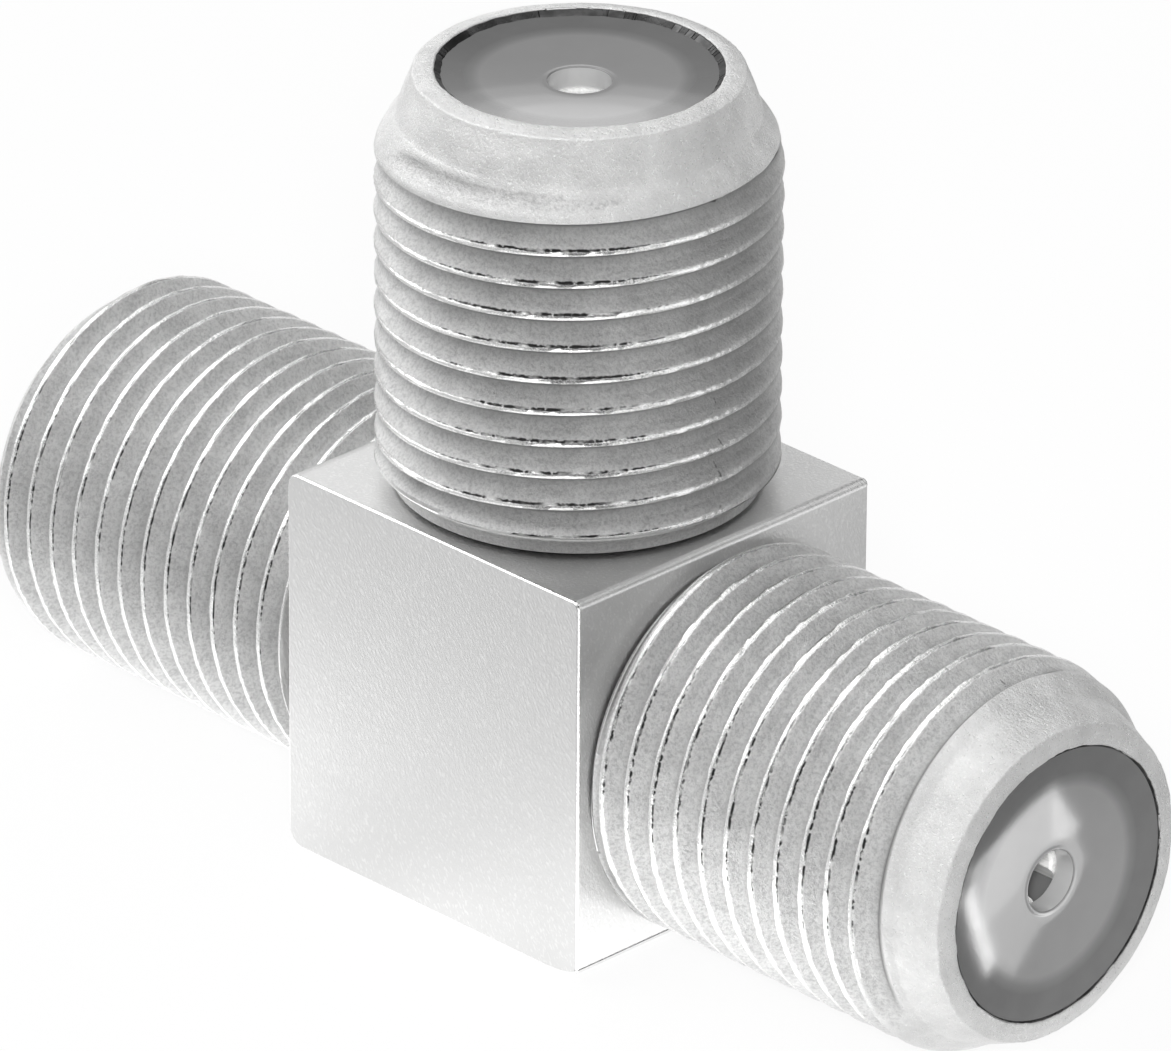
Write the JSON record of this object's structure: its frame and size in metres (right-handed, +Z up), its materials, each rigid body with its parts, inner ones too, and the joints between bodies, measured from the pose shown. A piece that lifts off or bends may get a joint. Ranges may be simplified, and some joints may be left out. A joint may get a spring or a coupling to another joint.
{
  "type": "coaxial tee splitter",
  "caption": "Small square metal body with threaded coaxial sockets at its ends and on top, for joining or splitting aerial leads.",
  "frame": {"origin": "middle of the whole length and depth, at the block's underside, on which the tee stands", "axes": "+X along the right port, out of its mouth, with the left port on -X; +Z up along the branch port; +Y to the plain back of the block"},
  "size_m": [0.0314, 0.0094, 0.02],
  "materials": {
    "nickel_plate": "satin nickel plate over a die casting, with fine grain and a parting line",
    "grey_dielectric": "glossy moulded",
    "white_dielectric": "plain moulded",
    "spring_metal": "bright tin plate, brushed along its length"
  },
  "bodies": {
    "root": {"body_casting": "nickel_plate", "front_insulator_right": "grey_dielectric", "front_insulator_left": "grey_dielectric", "front_insulator_branch": "grey_dielectric", "rear_sleeve_right": "white_dielectric", "rear_sleeve_left": "white_dielectric", "rear_sleeve_branch": "white_dielectric", "through_contact": "spring_metal", "branch_contact": "spring_metal"}
  },
  "joints": []
}
